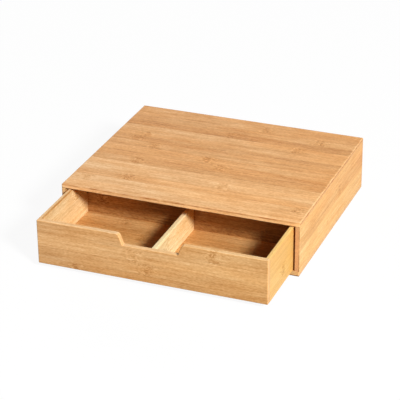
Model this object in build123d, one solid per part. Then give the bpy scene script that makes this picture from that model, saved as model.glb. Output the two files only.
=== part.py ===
from build123d import *
import os

# Coffee station organizer: a low bamboo casing that carries the machine on its lid,
# with one wide drawer, divided in four, that slides out of its open front.
# Millimetres. +Z is up, +Y points to the back, the origin is the centre of the casing's underside.

# Casing boards
CASING_WIDTH = 370.0
CASING_DEPTH = 312.0
CASING_HEIGHT = 85.0
TOP_THICKNESS = 6.0
BOTTOM_THICKNESS = 8.0
CASING_SIDE_THICKNESS = 7.0
CASING_BACK_THICKNESS = 6.0

# Running gaps of the drawer in the casing, and how far it stands open at rest
DRAWER_GAP_BESIDE = 3.0
DRAWER_GAP_BELOW = 0.3
DRAWER_GAP_ABOVE = 1.7
DRAWER_GAP_BEHIND = 3.0
DRAWER_OPEN = 105.0

# Drawer boards
FRONT_THICKNESS = 8.0
DRAWER_SIDE_THICKNESS = 6.0
DRAWER_BACK_THICKNESS = 7.0
FLOOR_THICKNESS = 4.0
FLOOR_HEIGHT = 5.5

# Dividers: a long one from front to back and a cross one from side to side
DIVIDER_THICKNESS = 7.0
DIVIDER_DROP = 20.3
FRONT_COMPARTMENT_DEPTH = 150.0

# Finger notch in the drawer front's upper edge
NOTCH_DEPTH = 16.5
NOTCH_BOTTOM_WIDTH = 84.0
NOTCH_SPLAY = 6.0
NOTCH_TOP_RADIUS = 5.5
NOTCH_BOTTOM_RADIUS = 2.0

# Rounded arrises that show, finer ones inside, and the small vee of the lid's joint with the sides
ARRIS_RADIUS = 1.2
INNER_ARRIS_RADIUS = 0.6
LID_JOINT_EASE = 0.3
LARGEST_ARRIS_SHARE = 0.3

# Joinery: grooves, housings and half laps are cut a little wider than what they take
GROOVE_DEPTH = 2.5
HOUSING_DEPTH = 2.0
JOINERY_CLEARANCE = 0.1

# Casing dowels
CASING_DOWEL_RADIUS = 2.0
CASING_DOWEL_LENGTH = 16.0
TOP_DOWEL_SINK = 3.6
BOTTOM_DOWEL_SINK = 5.0
BACK_DOWEL_SINK = 4.0
CASING_DOWEL_MARGIN = 30.0
CASING_DOWELS_PER_JOINT = 4
BACK_DOWEL_MARGIN = 16.0
BACK_DOWELS_PER_JOINT = 2

# Drawer dowels
DRAWER_DOWEL_RADIUS = 1.5
DRAWER_DOWEL_LENGTH = 14.0
FRONT_DOWEL_SINK = 5.0
DRAWER_BACK_DOWEL_SINK = 3.6
DRAWER_DOWEL_MARGIN = 13.0
DRAWER_DOWELS_PER_JOINT = 2

DOWEL_CHAMFER = 0.5

# Overrun of every cut past the face it starts from, and how near counts as the same place
OVERRUN = 5.0
SAME_PLACE = 0.01

# Casing places worked out from the sizes
CASING_RIGHT = CASING_WIDTH / 2
CASING_FRONT = -CASING_DEPTH / 2
CASING_REAR = CASING_DEPTH / 2
BAY_RIGHT = CASING_RIGHT - CASING_SIDE_THICKNESS
BAY_BOTTOM = BOTTOM_THICKNESS
BAY_TOP = CASING_HEIGHT - TOP_THICKNESS
BAY_REAR = CASING_REAR - CASING_BACK_THICKNESS

# Drawer places worked out from the bay and the running gaps
DRAWER_RIGHT = BAY_RIGHT - DRAWER_GAP_BESIDE
DRAWER_BOTTOM = BAY_BOTTOM + DRAWER_GAP_BELOW
DRAWER_TOP = BAY_TOP - DRAWER_GAP_ABOVE
DRAWER_FRONT = CASING_FRONT - DRAWER_OPEN
DRAWER_REAR = BAY_REAR - DRAWER_GAP_BEHIND - DRAWER_OPEN
INSIDE_RIGHT = DRAWER_RIGHT - DRAWER_SIDE_THICKNESS
INSIDE_FRONT = DRAWER_FRONT + FRONT_THICKNESS
INSIDE_REAR = DRAWER_REAR - DRAWER_BACK_THICKNESS
FLOOR_BOTTOM = DRAWER_BOTTOM + FLOOR_HEIGHT
FLOOR_TOP = FLOOR_BOTTOM + FLOOR_THICKNESS
DIVIDER_TOP = DRAWER_TOP - DIVIDER_DROP
DIVIDER_MIDDLE = (FLOOR_TOP + DIVIDER_TOP) / 2
CROSS_FRONT = INSIDE_FRONT + FRONT_COMPARTMENT_DEPTH
CROSS_REAR = CROSS_FRONT + DIVIDER_THICKNESS


def block(x_span, y_span, z_span):
    """A plain box between three pairs of limits."""
    size = (x_span[1] - x_span[0], y_span[1] - y_span[0], z_span[1] - z_span[0])
    low_corner = (x_span[0], y_span[0], z_span[0])
    return Pos(*low_corner) * Box(*size, align=(Align.MIN, Align.MIN, Align.MIN))


def on_ends(board, shapes, ends):
    """The edges or faces that lie on all the named ends of a board, such as '+X' and '-Y'."""
    limits = board.bounding_box()
    chosen = shapes
    for end in ends:
        axis = end[1]
        side = limits.max if end[0] == "+" else limits.min
        place = getattr(side, axis)
        chosen = [
            shape for shape in chosen
            if abs(getattr(shape.bounding_box().min, axis) - place) < SAME_PLACE
            and abs(getattr(shape.bounding_box().max, axis) - place) < SAME_PLACE
        ]
    return chosen


def arrises(board, *pairs):
    """The straight edges where two named ends of a board meet, one for each pair."""
    found = []
    for pair in pairs:
        found += on_ends(board, board.edges(), pair.split())
    return found


def arris(radius, thickness):
    """An arris's radius, limited by the thickness of its board."""
    return min(radius, thickness * LARGEST_ARRIS_SHARE)


def rounded(board, radius, *pairs):
    """A board with the named arrises rounded, within the share that its thinnest size allows."""
    size = board.bounding_box().size
    thinnest = min(size.X, size.Y, size.Z)
    return fillet(arrises(board, *pairs), arris(radius, thinnest))


def eased(board, end):
    """A board with the whole outline of the named end chamfered for the lid's joint."""
    face = on_ends(board, board.faces(), [end])[0]
    return chamfer(face.edges(), LID_JOINT_EASE)


def spread(low, high, margin, count):
    """Places set in by a margin at both ends and evenly spaced between."""
    step = (high - low - 2 * margin) / (count - 1)
    return [low + margin + step * index for index in range(count)]


def pegs(centres, axis, radius, length, end_chamfer):
    """Round pegs along the given axis, one at each centre."""
    turn = {"X": Rot(0, 90, 0), "Y": Rot(90, 0, 0), "Z": Rot(0, 0, 0)}[axis]
    shape = Cylinder(radius, length)
    if end_chamfer:
        shape = chamfer(shape.edges(), end_chamfer)
    return [Pos(*centre) * turn * shape for centre in centres]


def dowels(centres, axis, radius, length):
    """The wooden dowels of one set of joints."""
    return pegs(centres, axis, radius, length, DOWEL_CHAMFER)


def bored(board, centres, axis, radius, length):
    """A board with blind holes for the dowels, a little wider and longer than they are."""
    hole_radius = radius + JOINERY_CLEARANCE
    hole_length = length + 2 * JOINERY_CLEARANCE
    for hole in pegs(centres, axis, hole_radius, hole_length, 0):
        board = board - hole
    return board


def both_sides(centres):
    """The same places on the right and, mirrored, on the left."""
    return centres + [(-x, y, z) for x, y, z in centres]


# Dowel places: each dowel lies across its joint, sunk by the named depth in the outer board
CASING_DOWEL_X = CASING_RIGHT - CASING_SIDE_THICKNESS / 2
CASING_DOWEL_ROWS = spread(CASING_FRONT, CASING_REAR, CASING_DOWEL_MARGIN, CASING_DOWELS_PER_JOINT)
TOP_DOWEL_Z = BAY_TOP + TOP_DOWEL_SINK - CASING_DOWEL_LENGTH / 2
BOTTOM_DOWEL_Z = BAY_BOTTOM - BOTTOM_DOWEL_SINK + CASING_DOWEL_LENGTH / 2
BACK_DOWEL_X = BAY_RIGHT + BACK_DOWEL_SINK - CASING_DOWEL_LENGTH / 2
BACK_DOWEL_Y = CASING_REAR - CASING_BACK_THICKNESS / 2
BACK_DOWEL_ROWS = spread(BAY_BOTTOM, BAY_TOP, BACK_DOWEL_MARGIN, BACK_DOWELS_PER_JOINT)
DRAWER_DOWEL_ROWS = spread(FLOOR_TOP, DRAWER_TOP, DRAWER_DOWEL_MARGIN, DRAWER_DOWELS_PER_JOINT)
FRONT_DOWEL_X = DRAWER_RIGHT - DRAWER_SIDE_THICKNESS / 2
FRONT_DOWEL_Y = INSIDE_FRONT - FRONT_DOWEL_SINK + DRAWER_DOWEL_LENGTH / 2
DRAWER_BACK_DOWEL_X = INSIDE_RIGHT + DRAWER_BACK_DOWEL_SINK - DRAWER_DOWEL_LENGTH / 2
DRAWER_BACK_DOWEL_Y = DRAWER_REAR - DRAWER_BACK_THICKNESS / 2

TOP_DOWELS = both_sides([(CASING_DOWEL_X, y, TOP_DOWEL_Z) for y in CASING_DOWEL_ROWS])
BOTTOM_DOWELS = both_sides([(CASING_DOWEL_X, y, BOTTOM_DOWEL_Z) for y in CASING_DOWEL_ROWS])
BACK_DOWELS = both_sides([(BACK_DOWEL_X, BACK_DOWEL_Y, z) for z in BACK_DOWEL_ROWS])
FRONT_DOWELS = both_sides([(FRONT_DOWEL_X, FRONT_DOWEL_Y, z) for z in DRAWER_DOWEL_ROWS])
DRAWER_BACK_DOWELS = both_sides([
    (DRAWER_BACK_DOWEL_X, DRAWER_BACK_DOWEL_Y, z) for z in DRAWER_DOWEL_ROWS
])


def bored_for_casing_dowels(board, *sets):
    """A casing board with the holes of the named sets of casing dowels."""
    for centres, axis in sets:
        board = bored(board, centres, axis, CASING_DOWEL_RADIUS, CASING_DOWEL_LENGTH)
    return board


def bored_for_drawer_dowels(board, *sets):
    """A drawer board with the holes of the named sets of drawer dowels."""
    for centres, axis in sets:
        board = bored(board, centres, axis, DRAWER_DOWEL_RADIUS, DRAWER_DOWEL_LENGTH)
    return board


def casing_boards():
    """Lid and base run the full width, with the sides and the back standing between them."""
    width_span = (-CASING_RIGHT, CASING_RIGHT)
    depth_span = (CASING_FRONT, CASING_REAR)
    bay_span = (BAY_BOTTOM, BAY_TOP)
    corners = ("+X +Y", "+X -Y", "-X +Y", "-X -Y")

    top = block(width_span, depth_span, (BAY_TOP, CASING_HEIGHT))
    top = rounded(top, ARRIS_RADIUS, "+Z +X", "+Z -X", "+Z +Y", "+Z -Y", *corners)
    top = bored_for_casing_dowels(eased(top, "-Z"), (TOP_DOWELS, "Z"))

    bottom = block(width_span, depth_span, (0, BAY_BOTTOM))
    bottom = rounded(bottom, ARRIS_RADIUS, "-Z +X", "-Z -X", "-Z +Y", "-Z -Y", *corners)
    bottom = bored_for_casing_dowels(bottom, (BOTTOM_DOWELS, "Z"))

    side = block((BAY_RIGHT, CASING_RIGHT), depth_span, bay_span)
    side = rounded(side, ARRIS_RADIUS, "+X +Y", "+X -Y")
    side = rounded(side, INNER_ARRIS_RADIUS, "-X -Y")
    side = bored_for_casing_dowels(
        eased(side, "+Z"), (TOP_DOWELS, "Z"), (BOTTOM_DOWELS, "Z"), (BACK_DOWELS, "X")
    )

    back = block((-BAY_RIGHT, BAY_RIGHT), (BAY_REAR, CASING_REAR), bay_span)
    back = bored_for_casing_dowels(back, (BACK_DOWELS, "X"))

    return {
        "top_panel": top,
        "bottom_panel": bottom,
        "right_side_panel": side,
        "left_side_panel": mirror(side, Plane.YZ),
        "back_panel": back,
    }


def notched_outline():
    """The drawer front's outline, with the finger notch in the middle of its upper edge."""
    notch_bottom = DRAWER_TOP - NOTCH_DEPTH
    bottom_half = NOTCH_BOTTOM_WIDTH / 2
    top_half = bottom_half + NOTCH_SPLAY
    points = [
        (-DRAWER_RIGHT, DRAWER_BOTTOM),
        (DRAWER_RIGHT, DRAWER_BOTTOM),
        (DRAWER_RIGHT, DRAWER_TOP),
        (top_half, DRAWER_TOP),
        (bottom_half, notch_bottom),
        (-bottom_half, notch_bottom),
        (-top_half, DRAWER_TOP),
        (-DRAWER_RIGHT, DRAWER_TOP),
    ]
    outline = make_face(Polyline(*points, close=True))
    corners = (
        (top_half, DRAWER_TOP, NOTCH_TOP_RADIUS),
        (bottom_half, notch_bottom, NOTCH_BOTTOM_RADIUS),
    )
    for half, height, radius in corners:
        pair = [outline.vertices().sort_by_distance((x, height))[0] for x in (-half, half)]
        outline = fillet(pair, radius)
    return outline


def floor_groove(x_span, y_span):
    """What is cut away for the drawer floor, which lies on the groove's lower cheek."""
    return block(x_span, y_span, (FLOOR_BOTTOM, FLOOR_TOP + JOINERY_CLEARANCE))


def housing(x_span, y_span):
    """What is cut away for a divider's end, stopped under the board's upper edge."""
    return block(x_span, y_span, (FLOOR_TOP, DIVIDER_TOP + JOINERY_CLEARANCE))


DIVIDER_SLOT = DIVIDER_THICKNESS / 2 + JOINERY_CLEARANCE
LONG_SLOT = (-DIVIDER_SLOT, DIVIDER_SLOT)
CROSS_SLOT = (CROSS_FRONT - JOINERY_CLEARANCE, CROSS_REAR + JOINERY_CLEARANCE)
GROOVE_RIGHT = INSIDE_RIGHT + GROOVE_DEPTH
GROOVE_FRONT = INSIDE_FRONT - GROOVE_DEPTH
GROOVE_REAR = INSIDE_REAR + GROOVE_DEPTH


def drawer_front():
    """The notched front board, which covers the ends of the drawer's sides."""
    outline = Plane.XZ.offset(-INSIDE_FRONT) * notched_outline()
    board = extrude(outline, FRONT_THICKNESS)
    board = rounded(board, ARRIS_RADIUS, "+Z +X", "+Z -X", "-Z +X", "-Z -X")
    front_face = on_ends(board, board.faces(), ["-Y"])[0]
    board = fillet(front_face.edges(), arris(ARRIS_RADIUS, FRONT_THICKNESS))
    back_face = on_ends(board, board.faces(), ["+Y"])[0]
    upper_edges = [
        edge for edge in back_face.edges()
        if edge.bounding_box().min.Z > DRAWER_TOP - NOTCH_DEPTH - SAME_PLACE
        and abs(edge.center().X) < FRONT_DOWEL_X
    ]
    board = fillet(upper_edges, arris(INNER_ARRIS_RADIUS, FRONT_THICKNESS))
    board = board - floor_groove((-GROOVE_RIGHT, GROOVE_RIGHT), (GROOVE_FRONT, INSIDE_FRONT + OVERRUN))
    board = board - housing(LONG_SLOT, (INSIDE_FRONT - HOUSING_DEPTH, INSIDE_FRONT + OVERRUN))
    return bored_for_drawer_dowels(board, (FRONT_DOWELS, "Y"))


def drawer_back():
    """The back board, which stands between the drawer's sides."""
    board = block((-INSIDE_RIGHT, INSIDE_RIGHT), (INSIDE_REAR, DRAWER_REAR), (DRAWER_BOTTOM, DRAWER_TOP))
    board = rounded(board, ARRIS_RADIUS, "+Z +Y", "+Z -Y")
    board = rounded(board, INNER_ARRIS_RADIUS, "-Z +Y", "-Z -Y")
    past_end = (-INSIDE_RIGHT - OVERRUN, INSIDE_RIGHT + OVERRUN)
    board = board - floor_groove(past_end, (INSIDE_REAR - OVERRUN, GROOVE_REAR))
    board = board - housing(LONG_SLOT, (INSIDE_REAR - OVERRUN, INSIDE_REAR + HOUSING_DEPTH))
    return bored_for_drawer_dowels(board, (DRAWER_BACK_DOWELS, "X"))


def drawer_side():
    """The right side, from the front board to the drawer's rear end."""
    board = block((INSIDE_RIGHT, DRAWER_RIGHT), (INSIDE_FRONT, DRAWER_REAR), (DRAWER_BOTTOM, DRAWER_TOP))
    board = rounded(board, ARRIS_RADIUS, "+Z +X", "+Z -X", "+Y +X")
    board = rounded(board, INNER_ARRIS_RADIUS, "-Z +X", "-Z -X")
    past_inside = (INSIDE_RIGHT - OVERRUN, GROOVE_RIGHT)
    board = board - floor_groove(past_inside, (INSIDE_FRONT - OVERRUN, GROOVE_REAR))
    board = board - housing((INSIDE_RIGHT - OVERRUN, INSIDE_RIGHT + HOUSING_DEPTH), CROSS_SLOT)
    return bored_for_drawer_dowels(board, (FRONT_DOWELS, "Y"), (DRAWER_BACK_DOWELS, "X"))


def drawer_floor():
    """The thin floor panel, its edges in the grooves of all four boards."""
    half_width = GROOVE_RIGHT - JOINERY_CLEARANCE
    depth_span = (GROOVE_FRONT + JOINERY_CLEARANCE, GROOVE_REAR - JOINERY_CLEARANCE)
    return block((-half_width, half_width), depth_span, (FLOOR_BOTTOM, FLOOR_TOP))


def long_divider():
    """Front to back, notched from above where the cross divider drops over it."""
    reach = HOUSING_DEPTH - JOINERY_CLEARANCE
    half = DIVIDER_THICKNESS / 2
    depth_span = (INSIDE_FRONT - reach, INSIDE_REAR + reach)
    board = block((-half, half), depth_span, (FLOOR_TOP, DIVIDER_TOP))
    board = rounded(board, ARRIS_RADIUS, "+Z +X", "+Z -X")
    lap = block(
        (-half - OVERRUN, half + OVERRUN), CROSS_SLOT, (DIVIDER_MIDDLE, DIVIDER_TOP + OVERRUN)
    )
    return board - lap


def cross_divider():
    """Side to side, notched from below to straddle the long divider."""
    reach = HOUSING_DEPTH - JOINERY_CLEARANCE
    width_span = (-INSIDE_RIGHT - reach, INSIDE_RIGHT + reach)
    board = block(width_span, (CROSS_FRONT, CROSS_REAR), (FLOOR_TOP, DIVIDER_TOP))
    board = rounded(board, ARRIS_RADIUS, "+Z +Y", "+Z -Y")
    lap = block(
        LONG_SLOT, (CROSS_FRONT - OVERRUN, CROSS_REAR + OVERRUN), (FLOOR_TOP - OVERRUN, DIVIDER_MIDDLE)
    )
    return board - lap


def drawer_boards():
    """The drawer's seven boards."""
    side = drawer_side()
    return {
        "drawer_front": drawer_front(),
        "drawer_back": drawer_back(),
        "drawer_right_side": side,
        "drawer_left_side": mirror(side, Plane.YZ),
        "drawer_floor": drawer_floor(),
        "long_divider": long_divider(),
        "cross_divider": cross_divider(),
    }


def dowel_sets():
    """Each set of alike dowels, kept as a group of separate solids."""
    casing = (CASING_DOWEL_RADIUS, CASING_DOWEL_LENGTH)
    drawer = (DRAWER_DOWEL_RADIUS, DRAWER_DOWEL_LENGTH)
    return {
        "casing_top_dowels": Compound(dowels(TOP_DOWELS, "Z", *casing)),
        "casing_bottom_dowels": Compound(dowels(BOTTOM_DOWELS, "Z", *casing)),
        "casing_back_dowels": Compound(dowels(BACK_DOWELS, "X", *casing)),
        "drawer_front_dowels": Compound(dowels(FRONT_DOWELS, "Y", *drawer)),
        "drawer_back_dowels": Compound(dowels(DRAWER_BACK_DOWELS, "X", *drawer)),
    }


os.makedirs("parts", exist_ok=True)
for name, shape in {**casing_boards(), **drawer_boards(), **dowel_sets()}.items():
    export_step(shape, f"parts/{name}.step")
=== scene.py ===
import math
import random

import bpy
from mathutils import Matrix, Vector


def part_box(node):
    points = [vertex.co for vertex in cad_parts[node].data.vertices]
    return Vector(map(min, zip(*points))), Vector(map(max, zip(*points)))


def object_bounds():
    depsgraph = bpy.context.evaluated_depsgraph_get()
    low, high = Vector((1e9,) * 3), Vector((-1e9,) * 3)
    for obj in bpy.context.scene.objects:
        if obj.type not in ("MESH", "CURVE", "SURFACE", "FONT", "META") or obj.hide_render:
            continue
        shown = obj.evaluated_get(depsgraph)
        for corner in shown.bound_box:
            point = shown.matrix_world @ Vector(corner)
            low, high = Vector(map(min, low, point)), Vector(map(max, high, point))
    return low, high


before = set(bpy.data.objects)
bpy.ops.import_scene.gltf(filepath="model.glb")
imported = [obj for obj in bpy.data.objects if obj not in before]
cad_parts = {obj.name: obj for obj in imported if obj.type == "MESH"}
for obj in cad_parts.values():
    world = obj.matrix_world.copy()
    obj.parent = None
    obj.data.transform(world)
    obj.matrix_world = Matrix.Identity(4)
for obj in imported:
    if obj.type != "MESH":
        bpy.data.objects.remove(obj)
cad_low, cad_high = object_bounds()

MM = 0.001
AXES = "xyz"
WHITE = (1.0, 1.0, 1.0)
DISPLAY_GAMMA = 2.2


def srgb(red, green, blue):
    """A colour written as 0 to 255 display values, as the linear colour that shaders take."""
    return tuple((value / 255) ** DISPLAY_GAMMA for value in (red, green, blue))


# Camera: the photograph's viewing angle, in degrees and metres, and its lens and sensor in mm
CAMERA_AZIMUTH = 21.691
CAMERA_ELEVATION = 26.509
CAMERA_ROLL = -0.593
CAMERA_DISTANCE = 2.5793
CAMERA_TARGET = Vector((-0.0119, -0.0390, 0.0337))
CAMERA_LENS = 153.55
CAMERA_SENSOR = 36.0

# Lamps: where each shines from, how far away and how wide it is in metres, and its power in
# watts, then the strength of the even light from all round
KEY_DIRECTION = Vector((1.1, -0.86, 0.88))
KEY_DISTANCE = 5.0
KEY_SIZE = 0.8
KEY_POWER = 376.0
REAR_DIRECTION = Vector((-0.74, 0.72, 0.13))
REAR_DISTANCE = 4.0
REAR_SIZE = 1.5
REAR_POWER = 130.0
WORLD_STRENGTH = 0.06

# Floor: half its width and how far it lies under the casing, in metres, how much light it
# throws back, how rough it is, and how much of its look is plain white
FLOOR_HALF_WIDTH = 6.0
FLOOR_GAP = 0.0002
FLOOR_ALBEDO = 0.35
FLOOR_ROUGHNESS = 0.9
FLOOR_GLOW = 0.93

# Strips, in mm: their width, how far apart the knuckles of one lie, and how far from its edges
# a glue joint still shows and is at its darkest
STRIP_WIDTH = 19.3
KNUCKLE_SPACING = 330.0
JOINT_REACH = 0.55
JOINT_DARKEST = 0.1

# How much a given shade wanders along its strip, how strong the knuckles of
# drawn strips are, and the shares of the board's length at which a strip has its first, middle
# and last tone
SHADE_WANDER = 0.03
KNUCKLE_STRENGTHS = (0.2, 1.0)
FIRST_PLACE = 0.1
MIDDLE_PLACE = 0.5
LAST_PLACE = 0.9

# How far the noise moves on from strip to strip, and from one board's seed to the next
STRIP_SHIFT = 7.31
BOARD_SHIFT = 13.7

# Knuckles, in mm: where the mottled patch around one ends and is full, the same for its core,
# and what the noise is multiplied by that bends the patch's outline or swirls its fibres
PATCH_END = 22.0
PATCH_FULL = 3.0
CORE_END = 9.0
CORE_FULL = 1.0
OUTLINE_BEND = 22.0
SWIRL = 12.0

# Noise that is drawn out along the grain: its length and width in mm, and its detail
OUTLINE_NOISE = (8.0, 7.0, 1.0)
SWIRL_NOISE = (10.0, 8.0, 1.0)
FLECK_NOISE = (4.2, 1.9, 1.0)
SPECK_NOISE = (1.6, 1.1, 0.0)
BAND_NOISE = (240.0, 9.0, 1.0)
STREAK_NOISE = (110.0, 3.4, 1.0)
THREAD_NOISE = (42.0, 1.5, 1.0)
DASH_NOISE = (8.0, 1.5, 1.0)
GRIT_NOISE = (3.6, 1.1, 0.0)
DRIFT_NOISE = (55.0, 32.0, 1.0)
BUNDLE_NOISE = (14.0, 0.55, 0.0)
HUE_NOISE = (130.0, 26.0, 1.0)
LINE_NOISE = (14.0, 7.0, 1.0)

# The noise at which a dark bundle of fibres starts to show and is full
BUNDLE_RANGE = (0.14, 0.24)

# How much each of these adds to the tone, which runs from 0 at its darkest to 1 at its palest
BAND_WEIGHT = 0.26
STREAK_WEIGHT = 0.39
THREAD_WEIGHT = 0.40
DASH_WEIGHT = 0.42
GRIT_WEIGHT = 0.36
DRIFT_WEIGHT = 0.28
BUNDLE_WEIGHT = -0.09
FLECK_WEIGHT = 1.2
SPECK_WEIGHT = 0.4
CORE_WEIGHT = -0.15
JOINT_WEIGHT = -0.06

# How squarely a face looks along an axis where it starts to count as one that does, and where
# it counts in full
FACING_RANGE = (0.6, 0.85)

# Colours of the laminate from its darkest to its palest tone
LAMINATE_TONES = (
    (0.0, srgb(142, 87, 44)),
    (0.25, srgb(182, 121, 65)),
    (0.5, srgb(209, 149, 88)),
    (0.75, srgb(231, 175, 114)),
    (1.0, srgb(250, 203, 145)),
)

# Tints, as factors of the colour: some differ a little from board to board, others turn into
# another across a board, and some of them are painted light or painted shade
PLAIN = (1.0, 1.0, 1.0)
WARM = (1.0, 1.03, 0.91)
WARMER = (1.0, 1.125, 0.93)
RUDDY = (1.0, 0.98, 0.96)
SUNNY = (1.0, 1.125, 1.045)
# Painted light: paler and less orange, for the lit inner face of the drawer's left side
INNER_PAINTED_LIGHT = (0.97, 1.2, 1.5)
# Partly a pale board and partly painted light, on the lit front of the long divider
DIVIDER_PALE_AND_PAINTED_LIGHT = (0.98, 1.31, 1.64)
# Painted shade toward the long divider's shaded rear end
DIVIDER_PAINTED_SHADE = (0.9, 1.02, 1.12)
COOLER = (0.93, 1.03, 1.12)
# Painted light: the lid's tint turns from the left end to the right as the light across it
# changes
LID_LEFT_PAINTED_LIGHT = (1.0, 0.995, 1.07)
LID_RIGHT_PAINTED_LIGHT = (1.0, 0.95, 0.905)
FLOOR_TAN = (0.92, 1.02, 1.14)
# Painted shade for the cross divider under the lid, deeper toward the right
CROSS_PAINTED_SHADE_LEFT = (0.84, 0.94, 1.12)
CROSS_PAINTED_SHADE_RIGHT = (0.7, 0.76, 0.88)
FRONT_LEFT = (0.95, 1.01, 1.16)
FRONT_RIGHT = (0.92, 0.96, 0.98)

# Slow changes of hue within a board, from greyish straw to orange: the two hues, the range of
# the noise that leads from one to the other, and how strongly they show
STRAW_HUE = (0.955, 1.026, 1.135)
ORANGE_HUE = (1.045, 0.974, 0.85)
HUE_RANGE = (-0.15, 0.15)
HUE_STRENGTH = 0.45

# What the darker fibres of a flushed board are multiplied by, and the tones at which that
# starts and is full
FLUSHED_HUE = (1.06, 0.975, 0.965)
FLUSH_RANGE = (0.74, 0.56)

# Sawn ends: their colours from the darkest to the palest tone, and their usual tone
END_COLOURS = (
    (0.0, srgb(164, 102, 54)),
    (0.5, srgb(199, 147, 101)),
    (1.0, srgb(237, 189, 128)),
)
END_TONE = 0.5

# The dots on sawn ends: their width and their length along the grain in mm, the detail of their
# noise, and how much they and the bands add to the tone there
DOT_WIDTH = 0.6
DOT_LENGTH = 20.0
DOT_DETAIL = 2.0
DOT_WEIGHT = 1.2
END_BAND_WEIGHT = 0.4

# Satin lacquer: its roughness, what threads, knuckles and sawn ends add to it, and its shine
ROUGHNESS = 0.47
THREAD_ROUGHNESS = -0.3
PATCH_ROUGHNESS = 0.06
END_ROUGHNESS = 0.12
SHINE = 0.3

# Relief: its depth in metres, and the share that each mark has in it
RELIEF_DEPTH = 0.00008
THREAD_RELIEF = 0.7
STREAK_RELIEF = 0.4
BUNDLE_RELIEF = -0.25
JOINT_RELIEF = -0.3

# Lines along arrises, some of them painted shade and one a painted highlight: how broken they
# are, and the share of its width that a line fills in full
LINE_BREAK_WEIGHT = 1.8
LINE_FULL_SHARE = 0.35

# The lid's right edge, in mm: how far its painted highlight lies inside the edge, and how far its
# rusty line lies under the top
HIGHLIGHT_LINE_INSET = 1.0
RUSTY_LINE_DROP = 2.4

# Colours of the thin lines along arrises: painted shade at the drawer's gaps and under the base,
# a painted highlight on the lid, and darker arrises and joints
# Painted shade for the shaded gaps round the drawer, laid on the arrises at their front edges
PAINTED_GAP_SHADE = srgb(96, 52, 18)
DARK = srgb(120, 74, 34)
BROWN = srgb(168, 106, 58)
GOLDEN = srgb(176, 120, 62)
RUSTY = srgb(176, 100, 36)
DUSTY = srgb(194, 152, 116)
# A painted highlight for the sheen on the lid's rounded right arris
PAINTED_HIGHLIGHT = srgb(255, 214, 160)

# Strips given one by one: each one's shade, then how far a knuckle lies from its left or front
# end in mm, and the knuckle's strength. These are the lid's, from front to back
LID_STRIPS = (
    (0.80, 140, 0.1),
    (0.80, 290, 0.2),
    (0.80, 25, 0.8),
    (0.70, 82, 0.9),
    (0.80, 225, 0.9),
    (0.75, 20, 0.2),
    (0.60, 72, 0.8),
    (0.60, 200, 0.8),
    (0.70, 172, 0.9),
    (0.65, 78, 0.9),
    (0.60, 40, 0.7),
    (0.70, 50, 0.9),
    (0.70, 288, 0.9),
    (0.50, 175, 0.5),
    (0.65, 315, 0.9),
    (0.65, 220, 0.8),
    (0.65, 120, 0.3),
)

# The drawer front's, from bottom to top
FRONT_STRIPS = (
    (0.55, 60, 0.8),
    (0.60, 170, 0.8),
    (0.70, 148, 0.65),
    (0.60, 272, 0.75),
)

# Those of the casing's right side, from bottom to top
RIGHT_STRIPS = (
    (0.70, 40, 0.2),
    (0.70, 130, 0.3),
    (0.55, 190, 0.5),
    (0.65, 260, 0.3),
    (0.65, 90, 0.2),
)


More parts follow.
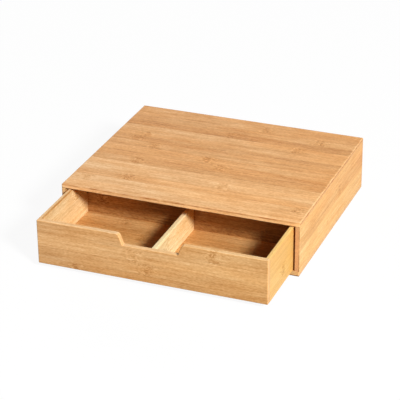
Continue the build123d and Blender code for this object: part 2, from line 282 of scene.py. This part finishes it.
class Graph:
    """One material's nodes, with short calls for the kinds of node used here."""

    def __init__(self, name):
        self.material = bpy.data.materials.new(name)
        self.material.use_nodes = True
        self.nodes = self.material.node_tree.nodes
        self.links = self.material.node_tree.links
        self.nodes.clear()
        self.shader = self.nodes.new("ShaderNodeBsdfPrincipled")
        self.output = self.nodes.new("ShaderNodeOutputMaterial")
        self.links.new(self.shader.outputs["BSDF"], self.output.inputs["Surface"])

    def feed(self, socket, value):
        if isinstance(value, bpy.types.NodeSocket):
            self.links.new(value, socket)
        else:
            socket.default_value = value

    def math(self, operation, *values):
        node = self.nodes.new("ShaderNodeMath")
        node.operation = operation
        for socket, value in zip(node.inputs, values):
            self.feed(socket, value)
        return node.outputs[0]

    def add(self, *values):
        total = values[0]
        for value in values[1:]:
            total = self.math("ADD", total, value)
        return total

    def less(self, first, second):
        return self.math("SUBTRACT", first, second)

    def times(self, *values):
        total = values[0]
        for value in values[1:]:
            total = self.math("MULTIPLY", total, value)
        return total

    def vector(self, x, y, z):
        node = self.nodes.new("ShaderNodeCombineXYZ")
        for socket, value in zip(node.inputs, (x, y, z)):
            self.feed(socket, value)
        return node.outputs[0]

    def split(self, vector):
        node = self.nodes.new("ShaderNodeSeparateXYZ")
        self.feed(node.inputs[0], vector)
        return node.outputs

    def span(self, value, start, end, change="LINEAR"):
        """A straight change from 0 at start to 1 at end."""
        node = self.nodes.new("ShaderNodeMapRange")
        node.interpolation_type = change
        self.feed(node.inputs["Value"], value)
        self.feed(node.inputs["From Min"], start)
        self.feed(node.inputs["From Max"], end)
        return node.outputs["Result"]

    def fade(self, value, start, end):
        """A smooth change from 0 at start to 1 at end."""
        return self.span(value, start, end, "SMOOTHSTEP")

    def noise(self, vector, detail):
        """Smooth noise about 0, from Blender's own, which lies about 0.5."""
        node = self.nodes.new("ShaderNodeTexNoise")
        self.feed(node.inputs["Vector"], vector)
        self.feed(node.inputs["Scale"], 1.0)
        self.feed(node.inputs["Detail"], detail)
        return self.less(node.outputs["Fac"], 0.5)

    def ramp(self, factor, stops, interpolation="LINEAR"):
        node = self.nodes.new("ShaderNodeValToRGB")
        node.color_ramp.interpolation = interpolation
        elements = node.color_ramp.elements
        while len(elements) < len(stops):
            elements.new(1.0)
        for element, (place, colour) in zip(elements, stops):
            element.position = place
            element.color = (*colour, 1.0)
        self.feed(node.inputs[0], factor)
        return node.outputs["Color"]

    def mix(self, factor, first, second, blend="MIX"):
        node = self.nodes.new("ShaderNodeMix")
        node.data_type = "RGBA"
        node.blend_type = blend
        self.feed(node.inputs["Factor"], factor)
        for name, value in (("A", first), ("B", second)):
            socket = [s for s in node.inputs if s.name == name and s.type == "RGBA"][0]
            self.feed(socket, value if isinstance(value, bpy.types.NodeSocket) else (*value, 1.0))
        return [s for s in node.outputs if s.type == "RGBA"][0]

    def bump(self, height, depth):
        node = self.nodes.new("ShaderNodeBump")
        self.feed(node.inputs["Height"], height)
        self.feed(node.inputs["Distance"], depth)
        self.links.new(node.outputs["Normal"], self.shader.inputs["Normal"])


class Bamboo(Graph):
    """A laminate of cane strips that run along one axis and lie side by side along another.

    The strips start at one place on the second axis, and reach gives both ends of the first.
    """

    def __init__(self, name, grain, across, start, strips, seed, reach):
        super().__init__(name)
        point = self.nodes.new("ShaderNodeTexCoord")
        metres = self.split(point.outputs["Object"])
        through = [axis for axis in AXES if axis not in (grain, across)][0]
        self.mm = {axis: self.times(metres[index], 1 / MM) for index, axis in enumerate(AXES)}
        self.normal = dict(zip(AXES, self.split(point.outputs["Normal"])))
        self.along = self.mm[grain]
        self.side = self.mm[across]
        self.depth = self.mm[through]
        self.strips = strips
        self.reach = reach
        self.position = self.math("DIVIDE", self.less(self.side, start), STRIP_WIDTH)
        self.index = self.math("FLOOR", self.position)
        self.strip_shift = self.times(self.index, STRIP_SHIFT)
        self.board_shift = seed * BOARD_SHIFT
        self.patch, self.core = self.knuckle()
        self.swirl = self.times(self.patch, self.fibres(SWIRL_NOISE), SWIRL)
        self.bands = self.fibres(BAND_NOISE)
        self.streaks = self.fibres(STREAK_NOISE, self.swirl)
        self.threads = self.fibres(THREAD_NOISE, self.swirl)
        self.bundles = self.fade(self.fibres(BUNDLE_NOISE, self.swirl), *BUNDLE_RANGE)
        self.joint = self.glue_joint()
        self.narrow = self.facing(across)
        self.end = self.facing(grain)

    def lookup(self, *columns):
        """What up to three columns of the strips' table say of the strip that a point lies in."""
        count = len(self.strips)
        share = self.math("DIVIDE", self.add(self.index, 0.5), float(count))
        stops = []
        for number, strip in enumerate(self.strips):
            values = [strip[column] for column in columns]
            stops.append((number / count, (*values, 0.0)[:3]))
        parts = self.nodes.new("ShaderNodeSeparateColor")
        self.links.new(self.ramp(share, stops, "CONSTANT"), parts.inputs[0])
        return parts.outputs

    def fibres(self, kind, swirl=0.0):
        """Noise about 0 that is drawn out along the grain and breaks off between strips."""
        length, width, detail = kind
        point = self.vector(
            self.add(self.times(self.along, 1 / length), self.board_shift, self.strip_shift),
            self.add(self.times(self.add(self.side, swirl), 1 / width), self.board_shift),
            self.times(self.depth, 1 / width),
        )
        return self.noise(point, detail)

    def knuckle(self):
        """How much a point belongs to a knuckle's mottled patch, and to the patch's core."""
        place, strength, _ = self.lookup(3, 4)
        bend = self.times(self.fibres(OUTLINE_NOISE), OUTLINE_BEND)
        from_start = self.less(self.add(self.along, bend), self.add(self.reach[0], place))
        half = KNUCKLE_SPACING / 2
        away = self.math("ABSOLUTE", self.math("WRAP", from_start, half, -half))
        patch = self.times(self.fade(away, PATCH_END, PATCH_FULL), strength)
        core = self.times(self.fade(away, CORE_END, CORE_FULL), strength)
        return patch, core

    def glue_joint(self):
        """1 in the glue joints between strips."""
        part = self.math("FRACT", self.position)
        share = self.math("MINIMUM", part, self.less(1.0, part))
        return self.fade(self.times(share, STRIP_WIDTH), JOINT_REACH, JOINT_DARKEST)

    def facing(self, axis):
        """1 on the faces that look along an axis, either way."""
        return self.fade(self.math("ABSOLUTE", self.normal[axis]), *FACING_RANGE)

    def strip_tone(self):
        """Each strip's own tone, which changes along the strip."""
        first, middle, last = self.lookup(0, 1, 2)
        run = self.span(self.along, *self.reach)
        early = self.span(run, FIRST_PLACE, MIDDLE_PLACE)
        late = self.span(run, MIDDLE_PLACE, LAST_PLACE)
        return self.add(
            first,
            self.times(early, self.less(middle, first)),
            self.times(late, self.less(last, middle)),
        )

    def tone(self, contrast, edges):
        """How pale a point is, of its strip, its fibres, its knuckle and its face."""
        fibre_tone = self.add(
            self.times(self.bands, BAND_WEIGHT),
            self.times(self.streaks, STREAK_WEIGHT),
            self.times(self.threads, THREAD_WEIGHT),
            self.times(self.fibres(DASH_NOISE, self.swirl), DASH_WEIGHT),
            self.times(self.fibres(GRIT_NOISE, self.swirl), GRIT_WEIGHT),
            self.times(self.fibres(DRIFT_NOISE), DRIFT_WEIGHT),
            self.times(self.bundles, BUNDLE_WEIGHT),
        )
        return self.add(
            self.strip_tone(),
            self.times(fibre_tone, contrast),
            self.times(self.patch, self.fibres(FLECK_NOISE, self.swirl), FLECK_WEIGHT),
            self.times(self.patch, self.fibres(SPECK_NOISE), SPECK_WEIGHT),
            self.times(self.core, CORE_WEIGHT),
            self.times(self.joint, JOINT_WEIGHT),
            self.times(self.narrow, edges),
        )

    def cane_colour(self, tone, flush):
        """The colour of a tone, with its hue's wander and its flush."""
        wander = self.span(self.fibres(HUE_NOISE), *HUE_RANGE)
        hue = self.mix(wander, STRAW_HUE, ORANGE_HUE)
        flushed = self.times(self.fade(tone, *FLUSH_RANGE), flush)
        colour = self.ramp(tone, LAMINATE_TONES)
        colour = self.mix(HUE_STRENGTH, colour, hue, "MULTIPLY")
        return self.mix(flushed, colour, FLUSHED_HUE, "MULTIPLY")

    def tinted(self, colour, tint, turn):
        """The colour times the board's tint, or times one that turns into another."""
        if turn:
            axis, first_place, last_place, last_tint = turn
            tint = self.mix(self.span(self.mm[axis], first_place, last_place), tint, last_tint)
        return self.mix(1.0, colour, tint, "MULTIPLY")

    def with_ends(self, colour, paler):
        """The colour with sawn ends, which are duller and dotted with the ends of the fibres."""
        point = self.vector(
            self.times(self.along, 1 / DOT_LENGTH),
            self.times(self.side, 1 / DOT_WIDTH),
            self.times(self.depth, 1 / DOT_WIDTH),
        )
        dots = self.times(self.noise(point, DOT_DETAIL), DOT_WEIGHT)
        tone = self.add(END_TONE + paler, dots, self.times(self.bands, END_BAND_WEIGHT))
        return self.mix(self.end, colour, self.ramp(tone, END_COLOURS))

    def with_line(self, colour, places, width, shade, strength):
        """The colour with one line along an arris, as arris_line gives it."""
        gaps = [self.less(self.mm[axis], place) for axis, place in places.items()]
        squares = self.add(*[self.times(gap, gap) for gap in gaps])
        near = self.fade(self.math("SQRT", squares), width, width * LINE_FULL_SHARE)
        broken = self.add(strength, self.times(self.fibres(LINE_NOISE), LINE_BREAK_WEIGHT))
        return self.mix(self.times(near, broken), colour, shade)

    def finish(self, colour):
        """Sets the colour, the satin lacquer and the fine relief."""
        roughness = self.add(
            ROUGHNESS,
            self.times(self.threads, THREAD_ROUGHNESS),
            self.times(self.patch, PATCH_ROUGHNESS),
            self.times(self.end, END_ROUGHNESS),
        )
        relief = self.add(
            self.times(self.threads, THREAD_RELIEF),
            self.times(self.streaks, STREAK_RELIEF),
            self.times(self.bundles, BUNDLE_RELIEF),
            self.times(self.joint, JOINT_RELIEF),
        )
        self.feed(self.shader.inputs["Base Color"], colour)
        self.feed(self.shader.inputs["Roughness"], roughness)
        self.feed(self.shader.inputs["Specular IOR Level"], SHINE)
        self.bump(relief, RELIEF_DEPTH)


def bamboo(name, grain, across, start, strips, seed, reach,
           contrast=1.0, edges=0.0, ends=0.0, flush=0.0, tint=PLAIN, turn=None, lines=()):
    """A bamboo material, with strips placed as Bamboo says.

    Contrast scales the fibres, edges and ends are how much paler the board's long narrow faces
    and its sawn ends are, flush is how much redder its darker fibres are, and tint colours it.
    Turn is an axis with two places on it, between which the tint turns into another one, and
    lines are lines of colour along the board's arrises, some of them painted shade and one a
    painted highlight.
    """
    g = Bamboo(name, grain, across, start, strips, seed, reach)
    colour = g.cane_colour(g.tone(contrast, edges), flush)
    colour = g.tinted(colour, tint, turn)
    colour = g.with_ends(colour, ends)
    for line in lines:
        colour = g.with_line(colour, **line)
    g.finish(colour)
    return g.material


def arris_line(width, shade, strength, **places):
    """A coloured line along an arris, at a place given on two axes; some are painted shade, one a
    painted highlight.
    """
    return {"places": places, "width": width, "shade": shade, "strength": strength}


def drawn_strips(count, seed, middle, spread):
    """Tones at the start, middle and end of each strip, then its knuckle's place and strength."""
    draw = random.Random(seed)
    table = []
    for _ in range(count):
        base = middle + draw.uniform(-spread, spread)
        tones = [base + draw.uniform(-spread, spread) / 2 for _ in range(3)]
        knuckle = draw.uniform(0.0, KNUCKLE_SPACING)
        table.append((*tones, knuckle, draw.uniform(*KNUCKLE_STRENGTHS)))
    return table


def chosen_strips(shades, seed):
    """The same for strips whose shade and knuckle are given."""
    draw = random.Random(seed)
    table = []
    for shade, knuckle, strength in shades:
        tones = [shade + draw.uniform(-SHADE_WANDER, SHADE_WANDER) for _ in range(3)]
        table.append((*tones, knuckle, strength))
    return table


def dress(node, material):
    """Gives a CAD node its material."""
    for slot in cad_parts[node].material_slots:
        slot.material = material


def low(node, axis):
    """A node's lowest place on an axis, in mm."""
    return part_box(node)[0][AXES.index(axis)] / MM


def high(node, axis):
    """A node's highest place on an axis, in mm."""
    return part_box(node)[1][AXES.index(axis)] / MM


def laminate(node, grain, across, offset, seed,
             shades=(), count=0, middle=0.64, spread=0.07, **looks):
    """Gives a CAD board its bamboo.

    Offset is how far before the board's edge the first strip starts, in mm. The strips have the
    shades that are given, or else there are as many as count says, drawn about a middle tone.
    """
    strips = chosen_strips(shades, seed) if shades else drawn_strips(count, seed, middle, spread)
    start = low(node, across) - offset
    reach = (low(node, grain), high(node, grain))
    dress(node, bamboo(node + "_bamboo", grain, across, start, strips, seed, reach, **looks))


def dress_casing():
    front = low("top_panel", "y")
    rear = high("top_panel", "y")
    top = high("top_panel", "z")
    left = low("top_panel", "x")
    right = high("top_panel", "x")
    underside = low("bottom_panel", "z")
    side_top = high("right_side_panel", "z")
    inner_right = low("right_side_panel", "x")
    inner_left = high("left_side_panel", "x")
    laminate(
        "top_panel", "x", "y", offset=12.2, seed=1, shades=LID_STRIPS,
        # The lid's tint turning from left to right is painted light
        edges=0.08, ends=0.22, tint=LID_LEFT_PAINTED_LIGHT, turn=("x", left, right, LID_RIGHT_PAINTED_LIGHT),
        lines=[
            arris_line(y=front, z=top, width=2.0, shade=BROWN, strength=0.65),
            # Painted shade: the lid's lower front arris, over the shaded gap above the drawer
            arris_line(y=front, z=side_top, width=1.1, shade=PAINTED_GAP_SHADE, strength=0.9),
            arris_line(x=left, z=top, width=1.6, shade=BROWN, strength=0.5),
            arris_line(y=rear, z=top, width=2.4, shade=DUSTY, strength=0.5),
            # Painted highlight along the lid's right arris
            arris_line(x=right - HIGHLIGHT_LINE_INSET, z=top, width=1.4, shade=PAINTED_HIGHLIGHT, strength=0.3),
            arris_line(x=right, z=top - RUSTY_LINE_DROP, width=1.7, shade=RUSTY, strength=0.55),
        ],
    )
    laminate(
        "bottom_panel", "x", "y", offset=4.0, seed=5, count=17, middle=0.56, spread=0.05,
        ends=0.3, tint=COOLER,
        lines=[
            # Painted shade: the lower arrises are darkened as if in shadow against the floor
            arris_line(y=front, z=underside, width=2.6, shade=DARK, strength=1.0),
            arris_line(x=right, z=underside, width=1.4, shade=DARK, strength=0.3),
        ],
    )
    laminate(
        "right_side_panel", "y", "z", offset=7.0, seed=11, shades=RIGHT_STRIPS,
        contrast=0.75, flush=1.0, tint=SUNNY, turn=("y", front, rear, WARM),
        lines=[
            arris_line(y=front, x=right, width=1.5, shade=DARK, strength=0.6),
            # Painted shade: the inner front arris, beside the shaded gap by the drawer
            arris_line(y=front, x=inner_right, width=1.0, shade=PAINTED_GAP_SHADE, strength=0.9),
            arris_line(y=rear, x=right, width=3.5, shade=BROWN, strength=0.5),
        ],
    )
    laminate(
        "left_side_panel", "y", "z", offset=9.0, seed=23, count=5,
        contrast=0.7, ends=0.35, tint=RUDDY,
        # Painted shade: the inner front arris, beside the shaded gap by the drawer
        lines=[arris_line(y=front, x=inner_left, width=1.0, shade=PAINTED_GAP_SHADE, strength=0.9)],
    )
    laminate("back_panel", "x", "z", offset=3.0, seed=31, count=5)


def dress_drawer():
    left = low("drawer_front", "x")
    right = high("drawer_front", "x")
    top = high("drawer_front", "z")
    outer_left = low("drawer_left_side", "x")
    inner_left = high("drawer_left_side", "x")
    divider_front = low("long_divider", "y")
    crossing = low("cross_divider", "y")
    laminate(
        "drawer_front", "x", "z", offset=9.1, seed=41, shades=FRONT_STRIPS, contrast=0.9,
        edges=0.25, ends=0.29, tint=FRONT_LEFT, turn=("x", left, right, FRONT_RIGHT),
    )
    laminate(
        "drawer_right_side", "y", "z", offset=5.0, seed=53, count=5, middle=0.62, spread=0.02,
        contrast=0.4, edges=0.2, tint=WARMER,
    )
    laminate(
        "drawer_left_side", "y", "z", offset=12.0, seed=61, count=5, middle=0.7, spread=0.03,
        # Painted light: the tint turns paler across the side's thickness toward its lit inner
        # face
        contrast=0.8, edges=0.08, tint=RUDDY, turn=("x", outer_left, inner_left, INNER_PAINTED_LIGHT),
        lines=[arris_line(x=inner_left, z=top, width=2.2, shade=GOLDEN, strength=0.95)],
    )
    laminate("drawer_back", "x", "z", offset=8.0, seed=67, count=5)
    laminate(
        "drawer_floor", "x", "y", offset=6.0, seed=71, count=17, middle=0.45, spread=0.06,
        tint=FLOOR_TAN,
    )
    laminate(
        # A pale middle tone and tint, partly painted light, turning into painted shade toward the
        # rear
        "long_divider", "y", "z", offset=4.0, seed=83, count=4, middle=0.87, spread=0.03,
        edges=0.11, tint=DIVIDER_PALE_AND_PAINTED_LIGHT, turn=("y", divider_front, crossing, DIVIDER_PAINTED_SHADE),
    )
    laminate(
        # Painted shade: the low middle tone and the tint stand in for the shade under the lid
        "cross_divider", "x", "z", offset=2.0, seed=89, count=4, middle=0.29, spread=0.05,
        edges=0.1, tint=CROSS_PAINTED_SHADE_LEFT, turn=("x", left, right, CROSS_PAINTED_SHADE_RIGHT),
    )


def dress_dowels():
    """Gives all dowels one wood, with upright grain."""
    seed = 97
    strips = drawn_strips(20, seed, middle=0.62, spread=0.03)
    reach = (cad_low.z / MM, cad_high.z / MM)
    wood = bamboo("dowel_wood", "z", "x", cad_low.x / MM, strips, seed, reach)
    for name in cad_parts:
        if name.endswith("dowels"):
            dress(name, wood)


def direct_look(nodes, links):
    """1 where the camera sees something directly, in a reflection or through glass."""
    path = nodes.new("ShaderNodeLightPath")
    seen = path.outputs["Is Camera Ray"]
    for name in ("Is Glossy Ray", "Is Transmission Ray"):
        either = nodes.new("ShaderNodeMath")
        either.operation = "MAXIMUM"
        links.new(seen, either.inputs[0])
        links.new(path.outputs[name], either.inputs[1])
        seen = either.outputs[0]
    return seen


def floor_material():
    """Grey and dull to the light, and nearly white to the camera, a little darker in shadow."""
    g = Graph("studio_floor")
    seen = direct_look(g.nodes, g.links)
    g.feed(g.shader.inputs["Base Color"], g.mix(seen, (FLOOR_ALBEDO,) * 3, WHITE))
    g.feed(g.shader.inputs["Roughness"], FLOOR_ROUGHNESS)
    g.feed(g.shader.inputs["Specular IOR Level"], 0.0)
    glow = g.nodes.new("ShaderNodeEmission")
    g.feed(glow.inputs["Color"], (*WHITE, 1.0))
    g.feed(glow.inputs["Strength"], 1.0)
    blend = g.nodes.new("ShaderNodeMixShader")
    g.feed(blend.inputs[0], g.times(seen, FLOOR_GLOW))
    g.links.new(g.shader.outputs["BSDF"], blend.inputs[1])
    g.links.new(glow.outputs["Emission"], blend.inputs[2])
    g.links.new(blend.outputs[0], g.output.inputs["Surface"])
    return g.material


def studio_floor():
    mesh = bpy.data.meshes.new("studio_floor")
    signs = ((-1, -1), (1, -1), (1, 1), (-1, 1))
    corners = [(x * FLOOR_HALF_WIDTH, y * FLOOR_HALF_WIDTH, 0.0) for x, y in signs]
    mesh.from_pydata(corners, [], [(0, 1, 2, 3)])
    mesh.materials.append(floor_material())
    floor = bpy.data.objects.new("studio_floor", mesh)
    floor.location.z = cad_low.z - FLOOR_GAP
    bpy.context.scene.collection.objects.link(floor)


def studio_world():
    """Weak light from all round, and a white backdrop where the camera looks past the floor."""
    world = bpy.data.worlds.new("studio")
    bpy.context.scene.world = world
    world.use_nodes = True
    nodes = world.node_tree.nodes
    links = world.node_tree.links
    nodes.clear()
    blend = nodes.new("ShaderNodeMixShader")
    output = nodes.new("ShaderNodeOutputWorld")
    links.new(direct_look(nodes, links), blend.inputs[0])
    for socket, strength in zip(blend.inputs[1:], (WORLD_STRENGTH, 1.0)):
        background = nodes.new("ShaderNodeBackground")
        background.inputs["Color"].default_value = (*WHITE, 1.0)
        background.inputs["Strength"].default_value = strength
        links.new(background.outputs[0], socket)
    links.new(blend.outputs[0], output.inputs["Surface"])


def softbox(name, direction, distance, size, power):
    """A square lamp that shines at the object and doesn't show in its sheen."""
    data = bpy.data.lights.new(name, "AREA")
    data.shape = "SQUARE"
    data.size = size
    data.energy = power
    lamp = bpy.data.objects.new(name, data)
    direction = direction.normalized()
    lamp.location = CAMERA_TARGET + direction * distance
    lamp.rotation_euler = direction.to_track_quat("Z", "Y").to_euler()
    lamp.visible_glossy = False
    bpy.context.scene.collection.objects.link(lamp)


def camera():
    azimuth, elevation, roll = (
        math.radians(angle) for angle in (CAMERA_AZIMUTH, CAMERA_ELEVATION, CAMERA_ROLL)
    )
    back = Vector((
        math.sin(azimuth) * math.cos(elevation),
        -math.cos(azimuth) * math.cos(elevation),
        math.sin(elevation),
    ))
    level = Vector((math.cos(azimuth), math.sin(azimuth), 0.0))
    rise = back.cross(level)
    right = level * math.cos(roll) + rise * math.sin(roll)
    up = rise * math.cos(roll) - level * math.sin(roll)
    turn = Matrix((right, up, back)).transposed()
    data = bpy.data.cameras.new("camera")
    data.lens = CAMERA_LENS
    data.sensor_width = CAMERA_SENSOR
    eye = bpy.data.objects.new("camera", data)
    eye.matrix_world = Matrix.Translation(CAMERA_TARGET + back * CAMERA_DISTANCE) @ turn.to_4x4()
    bpy.context.scene.collection.objects.link(eye)
    bpy.context.scene.camera = eye


dress_casing()
dress_drawer()
dress_dowels()
studio_floor()
studio_world()
softbox("key", KEY_DIRECTION, KEY_DISTANCE, KEY_SIZE, KEY_POWER)
softbox("rear", REAR_DIRECTION, REAR_DISTANCE, REAR_SIZE, REAR_POWER)
camera()
bpy.context.scene.view_settings.view_transform = "Standard"
